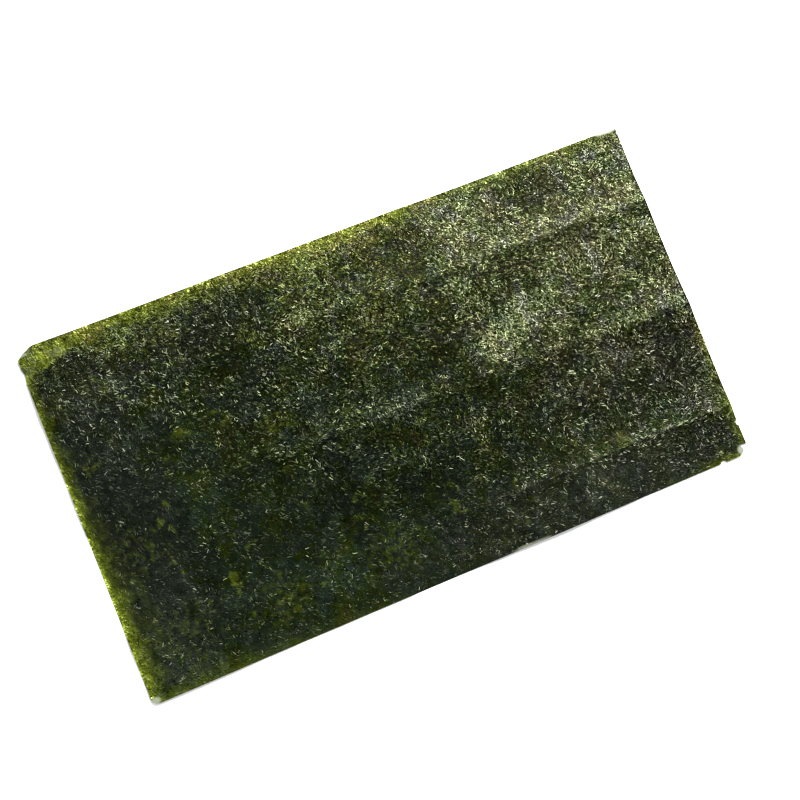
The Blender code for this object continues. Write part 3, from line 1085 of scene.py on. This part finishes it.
class Look:
    """Short names for the nodes of one material."""

    def __init__(self, name):
        self.material = bpy.data.materials.new(name)
        self.material.use_nodes = True
        self.nodes = self.material.node_tree.nodes
        self.links = self.material.node_tree.links
        self.shader = self.nodes["Principled BSDF"]
        self.place = self.nodes.new("ShaderNodeTexCoord").outputs["Object"]

    def add(self, kind, output, inputs, **settings):
        """Add a node, set its inputs to constants or link values to them, and return an output."""
        node = self.nodes.new("ShaderNode" + kind)
        for name, value in settings.items():
            setattr(node, name, value)
        for socket, value in inputs.items():
            self.feed(node, socket, value)
        return node.outputs[output]

    def feed(self, node, socket, value):
        """Set one input of a node to a constant, or link a value to it."""
        if isinstance(value, bpy.types.NodeSocket):
            self.links.new(value, node.inputs[socket])
        else:
            node.inputs[socket].default_value = value

    def attribute(self, name):
        """Return a field of the mesh."""
        return self.add("Attribute", "Fac", {}, attribute_name=name)

    def slanted(self, turn, long):
        """Return places turned and squeezed so that lumps come out long in one direction."""
        inputs = {"Vector": self.place, "Rotation": (0.0, 0.0, turn), "Scale": (long, 1.0, 1.0)}
        return self.add("Mapping", "Vector", inputs, vector_type="TEXTURE")

    def noise(self, kind, size, detail, distortion=0.0, place=None):
        """Return a noise whose lumps are size millimetres across."""
        inputs = {"Vector": place or self.place, "Scale": 1.0 / (size * MM)}
        inputs.update({"Detail": detail, "Distortion": distortion})
        return self.add("TexNoise", "Fac", inputs, noise_type=kind)

    def ramp(self, source, stops):
        """Return the colour that a value has between (value, colour) stops."""
        node = self.nodes.new("ShaderNodeValToRGB")
        self.feed(node, "Fac", source)
        elements = node.color_ramp.elements
        elements[0].position, elements[0].color = stops[0][0], (*stops[0][1], 1.0)
        elements[1].position, elements[1].color = stops[-1][0], (*stops[-1][1], 1.0)
        for place, colour in stops[1:-1]:
            elements.new(place).color = (*colour, 1.0)
        return node.outputs["Color"]

    def profile(self, source, stops):
        """Return the value that a value has between (value, result) stops, from 0 to 1."""
        return self.ramp(source, [(place, (level, level, level)) for place, level in stops])

    def mix(self, share, first, second):
        """Return the first colour at share 0 and the second at 1."""
        if isinstance(second, tuple):
            second = (*second, 1.0)
        inputs = {"Factor": share, "A": first, "B": second}
        return self.add("Mix", "Result", inputs, data_type="RGBA")

    def math(self, operation, first, second):
        """Return one calculation with two values."""
        return self.add("Math", "Value", {0: first, 1: second}, operation=operation)

    def scaled(self, colour, share):
        """Return a colour times a value."""
        inputs = {"Vector": colour, "Scale": share}
        return self.add("VectorMath", "Vector", inputs, operation="SCALE")

    def spread(self, source, low, high, to_low, to_high):
        """Return a value taken from one range to another."""
        inputs = {"Value": source, "From Min": low, "From Max": high}
        inputs.update({"To Min": to_low, "To Max": to_high})
        return self.add("MapRange", "Result", inputs)


# Hue of the film by its field "olive", and of the light that comes through it
HUES = (
    (0.0, (0.60, 1.0, 0.60)), (0.25, (0.54, 1.0, 0.22)), (0.5, (0.62, 1.0, 0.10)),
    (0.75, (0.84, 1.0, 0.11)), (1.0, (1.08, 1.0, 0.32)),
)
THIN_HUES = ((0.0, (0.76, 1.0, 0.02)), (0.5, (0.82, 1.0, 0.05)), (1.0, (1.02, 1.0, 0.12)))
# Value by the field "tone": the least, and how many times that the most is
VALUE = (0.0028, 26.0)
THIN_VALUE = (0.030, 20.0)
PALE_COLOUR = (0.34, 0.36, 0.28)
GREY_HUE = (0.97, 1.0, 0.62)
SHEEN_TINT = (0.90, 1.0, 0.60, 1.0)

# The brighter the film is, the greyer, so that the painted glints come out whitish: tones between
# which that comes in, and how much. Then the same for the light that comes through.
GREY_TONES = (0.75, 1.35)
GREY_MOST = 0.80
THIN_GREY_TONES = (0.45, 1.10)
THIN_GREY_MOST = 0.30

# Hue of the greyish painted sheen on the crisp film, and of greyer places
GREY_SHEEN_HUE = (1.0, 1.0, 0.88)

# Fine lines of the film, each a painted highlight beside a painted shadow: lump size, direction,
# stretch and strength of each set, the profile across one with its middle level, how wavy they are,
# and the lumps and values that break them up
LINES = ((0.64, -0.9, 3.0, 1.3), (0.46, -0.4, 2.6, 1.3))
LINE_PROFILE = ((0.36, 0.5), (0.43, 0.0), (0.485, 0.05), (0.515, 1.0), (0.55, 0.85), (0.61, 0.5))
LINE_LEVEL = 0.5
LINE_DETAIL = 0.5
LINE_WAVINESS = 0.9
LINE_BREAK_SIZE = 1.6
LINE_BREAKS = (0.40, 0.60)

# Shine and range of roughness
LEAF_SHINE = 0.022
LEAF_ROUGHNESS = (0.36, 0.46)
SLIVER_ROUGHNESS = (0.30, 0.42)

# Noises of the film: kind, lump size, detail and waviness. Then the values between which a soft
# noise mostly lies, and where and how much the film is wrinkled.
WRINKLES = ("RIDGED_MULTIFRACTAL", 1.0, 2.0, 0.6)
PATCHES = ("FBM", 6.0, 1.0)
GRAIN = ("FBM", 0.42, 1.0)
NOISE_RANGE = (0.3, 0.7)
WRINKLED = (0.35, 0.6, 0.25, 1.0)
WRINKLE_HEIGHT = 0.08
GRAIN_TONE = 0.20


def film_lines(look):
    """Return the change of tone of the fine curled lines of the film, each a painted highlight by a
    dark gap of painted shadow.
    """
    sum_of_lines = None
    for size, turn, long, share in LINES:
        field = look.noise("FBM", size, LINE_DETAIL, LINE_WAVINESS, look.slanted(turn, long))
        line = look.math("SUBTRACT", look.profile(field, LINE_PROFILE), LINE_LEVEL)
        breaks = look.noise("FBM", LINE_BREAK_SIZE * size, 1.0)
        line = look.math("MULTIPLY", line, look.spread(breaks, *LINE_BREAKS, 0.0, share))
        sum_of_lines = look.math("ADD", sum_of_lines, line) if sum_of_lines else line
    return look.math("MULTIPLY", sum_of_lines, look.attribute("crisp"))


def film_tone(look, lines):
    """Return the tone of the film, with its grain and, on the leaf, its fine lines."""
    grain = look.spread(look.noise(*GRAIN), *NOISE_RANGE, -GRAIN_TONE, GRAIN_TONE)
    grain = look.math("MULTIPLY", grain, look.attribute("crisp"))
    tone = look.math("ADD", look.attribute("tone"), grain)
    return look.math("ADD", tone, film_lines(look)) if lines else tone


def film_colour(look, tone):
    """Return the colour of the film by its tone, hue, greyish mix with painted sheen, thinness and
    paleness.
    """
    olive = look.attribute("olive")
    value = look.math("MULTIPLY", look.math("POWER", VALUE[1], tone), VALUE[0])
    glow = look.math("MULTIPLY", look.math("POWER", THIN_VALUE[1], tone), THIN_VALUE[0])
    greyness = look.spread(tone, *GREY_TONES, 0.0, GREY_MOST)
    hue = look.mix(greyness, look.ramp(olive, HUES), GREY_HUE)
    body = look.scaled(look.mix(look.attribute("grey_and_sheen"), hue, GREY_SHEEN_HUE), value)
    # Light that comes through thin leaf, painted as a paler, yellower colour
    paleness = look.spread(tone, *THIN_GREY_TONES, 0.0, THIN_GREY_MOST)
    lit = look.scaled(look.mix(paleness, look.ramp(olive, THIN_HUES), GREY_HUE), glow)
    colour = look.mix(look.attribute("thin"), body, lit)
    return look.mix(look.attribute("pale"), colour, PALE_COLOUR)


def nori_material(name, shine, roughness, lines):
    """Return one look of the seaweed film."""
    look = Look(name)
    patches = look.noise(*PATCHES)
    bump = look.add("Bump", "Normal", {
        "Height": look.math("MULTIPLY", look.noise(*WRINKLES), look.spread(patches, *WRINKLED)),
        "Strength": 1.0,
        "Distance": WRINKLE_HEIGHT * MM,
    })
    for socket, value in {
        "Base Color": film_colour(look, film_tone(look, lines)),
        "Roughness": look.spread(patches, *NOISE_RANGE, *roughness),
        "Normal": bump,
        "Specular IOR Level": shine,
        "Specular Tint": SHEEN_TINT,
    }.items():
        look.feed(look.shader, socket, value)
    return look.material


def panel_mesh(leaf, panel, material):
    """Build the closed mesh of the leaf between two fold lines."""
    first = sum(leaf.panel_blocks[:panel])
    last = first + leaf.panel_blocks[panel]
    kept = leaf.kept[first:last]
    rows = slice(2 * first, 2 * last + 1)
    x, y, top = leaf.x[rows], leaf.y[rows], leaf.top[rows]
    low = leaf.bottom[first:last + 1]
    fine = np.arange(top.size).reshape(top.shape)
    coarse = top.size + np.arange(low.size).reshape(low.shape)
    low_x, low_y = x[::2, ::2], y[::2, ::2]
    points = np.concatenate([
        np.stack([x, y, top], -1).reshape(-1, 3),
        np.stack([low_x, low_y, low], -1).reshape(-1, 3),
    ])
    fine_kept = np.repeat(np.repeat(kept, 2, 0), 2, 1)
    r, c = np.nonzero(fine_kept)
    upper = np.stack([fine[r, c], fine[r + 1, c], fine[r + 1, c + 1], fine[r, c + 1]], -1)
    r, c = np.nonzero(kept)
    lower = np.stack([coarse[r, c], coarse[r, c + 1], coarse[r + 1, c + 1], coarse[r + 1, c]], -1)
    rims = []
    for r0, c0, r1, c1 in open_sides(kept):
        a, m, b = fine[2 * r0, 2 * c0], fine[r0 + r1, c0 + c1], fine[2 * r1, 2 * c1]
        rims.append(np.stack([b, m, a, coarse[r0, c0], coarse[r1, c1]], -1))
    rim = np.concatenate(rims)
    sizes = np.repeat([4, 4, 5], [len(upper), len(lower), len(rim)])
    corners = np.concatenate([upper.ravel(), lower.ravel(), rim.ravel()])
    grid_uv = panel_uv(points, top.size, corners, upper.size + lower.size, len(rim))
    used = np.unique(corners)
    renumber = np.zeros(len(points), int)
    renumber[used] = np.arange(len(used))
    corners = renumber[corners]
    mesh = mesh_from(f"leaf_panel_{panel + 1}", points[used], corners, sizes)
    mesh.polygons.foreach_set("use_smooth", sizes == 4)
    normals = np.concatenate([
        leaf.normals[rows].reshape(-1, 3),
        -leaf.low_normals[first:last + 1].reshape(-1, 3),
    ])[used][corners]
    flat = np.zeros(len(sizes) * 3, np.float32)
    mesh.polygons.foreach_get("normal", flat)
    on_rim = sizes.repeat(sizes) == 5
    normals[on_rim] = flat.reshape(-1, 3).repeat(sizes, axis=0)[on_rim]
    mesh.normals_split_custom_set(normals)
    for name, field in leaf.fields.items():
        part = field[rows]
        add_field(mesh, name, np.concatenate([part.ravel(), part[::2, ::2].ravel()])[used])
    set_uv(mesh, grid_uv)
    mesh.materials.append(material)
    return mesh


# Margin of a panel on the picture of the UV map, and heights there of its underside, rim and top
UV_MARGIN = 0.01
UV_LOWER = (0.02, 0.47)
UV_RIM = (0.49, 0.51)
UV_UPPER = (0.53, 0.98)


def panel_uv(points, fine_points, corners, flat_corners, rims):
    """Return where each corner of a panel's faces lies on the picture of the UV map."""
    x, y = points[:, 0], points[:, 1]
    along = UV_MARGIN + (1.0 - 2.0 * UV_MARGIN) * (x / LENGTH + 0.5)
    across = (y - y.min()) / (y.max() - y.min())
    lower = UV_LOWER[0] + (UV_LOWER[1] - UV_LOWER[0]) * across
    upper = UV_UPPER[0] + (UV_UPPER[1] - UV_UPPER[0]) * across
    is_upper = np.arange(len(points)) < fine_points
    flat = np.stack([along, np.where(is_upper, upper, lower)], -1)[corners[:flat_corners]]
    one = np.array([
        (0.0, UV_RIM[1]), (0.5, UV_RIM[1]), (1.0, UV_RIM[1]), (1.0, UV_RIM[0]), (0.0, UV_RIM[0]),
    ])
    rim = np.tile(one, (rims, 1))
    rim[:, 0] = (rim[:, 0] + np.repeat(np.arange(rims), len(one))) / rims
    return np.concatenate([flat, rim])


def add_object(name, data):
    """Put an object into the scene and return it."""
    thing = bpy.data.objects.new(name, data)
    bpy.context.scene.collection.objects.link(thing)
    return thing


def make_leaf():
    """Make the pieces of the leaf."""
    leaf = Leaf()
    raster = pressed_relief()
    leaf.press(raster)
    leaf.paint(raster)
    film = nori_material("nori_leaf", LEAF_SHINE, LEAF_ROUGHNESS, True)
    meshes = [panel_mesh(leaf, panel, film) for panel in range(len(leaf.panel_blocks))]
    for kind in KINDS:
        material = nori_material(f"nori_{kind.name}", kind.shine, SLIVER_ROUGHNESS, False)
        meshes.append(make_slivers(leaf, kind, material))
    for mesh in meshes:
        piece = add_object(mesh.name, mesh)
        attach(piece, BODY)
        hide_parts(NODE)


FLOOR_HALF = 3000.0
FLOOR_LEVEL = -0.03
FLOOR_COLOUR = (0.92, 0.92, 0.92, 1.0)
FLOOR_ROUGHNESS = 0.9
FLOOR_SHINE = 0.1


def make_floor():
    """Lay the plain pale floor."""
    corners = [(-1.0, -1.0), (1.0, -1.0), (1.0, 1.0), (-1.0, 1.0)]
    points = np.array([(x * FLOOR_HALF, y * FLOOR_HALF, FLOOR_LEVEL) for x, y in corners])
    mesh = mesh_from("floor", points, np.arange(4), np.array([4]))
    look = Look("floor")
    look.shader.inputs["Base Color"].default_value = FLOOR_COLOUR
    look.shader.inputs["Roughness"].default_value = FLOOR_ROUGHNESS
    look.shader.inputs["Specular IOR Level"].default_value = FLOOR_SHINE
    mesh.materials.append(look.material)
    add_object("floor", mesh)


# Camera: place, and the directions of the picture's right and up, from the sheet's four edges
CAMERA_PLACE = (-60.97, -16.57, 378.93)
CAMERA_RIGHT = (0.91652, -0.37646, 0.13514)
CAMERA_UP = (0.36504, 0.92538, 0.10207)
CAMERA_LENS = 59.28
SENSOR = 36.0
CLIP = (0.01, 20.0)


def make_camera():
    """Set up the camera where the photograph was taken."""
    data = bpy.data.cameras.new("camera")
    data.lens = CAMERA_LENS
    data.sensor_width = SENSOR
    data.clip_start, data.clip_end = CLIP
    camera = add_object("camera", data)
    right = Vector(CAMERA_RIGHT).normalized()
    up = Vector(CAMERA_UP)
    up = (up - right * up.dot(right)).normalized()
    turn = Matrix((right, up, right.cross(up))).transposed()
    camera.matrix_world = Matrix.Translation(Vector(CAMERA_PLACE) * MM) @ turn.to_4x4()
    bpy.context.scene.camera = camera


KEY_TOWARDS = (0.45, 0.55, 0.70)
KEY_DISTANCE = 350.0
KEY_SIZE = 200.0
KEY_POWER = 4.0
SKY_STRENGTH = 0.9


def make_lights():
    """Light the sheet with a soft box near its upper right, and evenly from all round."""
    data = bpy.data.lights.new("key", "AREA")
    data.shape = "SQUARE"
    data.size = KEY_SIZE * MM
    data.energy = KEY_POWER
    light = add_object("key", data)
    towards = Vector(KEY_TOWARDS).normalized()
    light.location = towards * KEY_DISTANCE * MM
    light.rotation_euler = towards.to_track_quat("Z", "Y").to_euler()
    light.visible_camera = False
    world = bpy.data.worlds.new("studio")
    world.use_nodes = True
    sky = world.node_tree.nodes["Background"]
    sky.inputs["Color"].default_value = (1.0, 1.0, 1.0, 1.0)
    sky.inputs["Strength"].default_value = SKY_STRENGTH
    world.cycles_visibility.glossy = False
    bpy.context.scene.world = world
    bpy.context.scene.view_settings.view_transform = "Standard"


make_leaf()
make_floor()
make_camera()
make_lights()
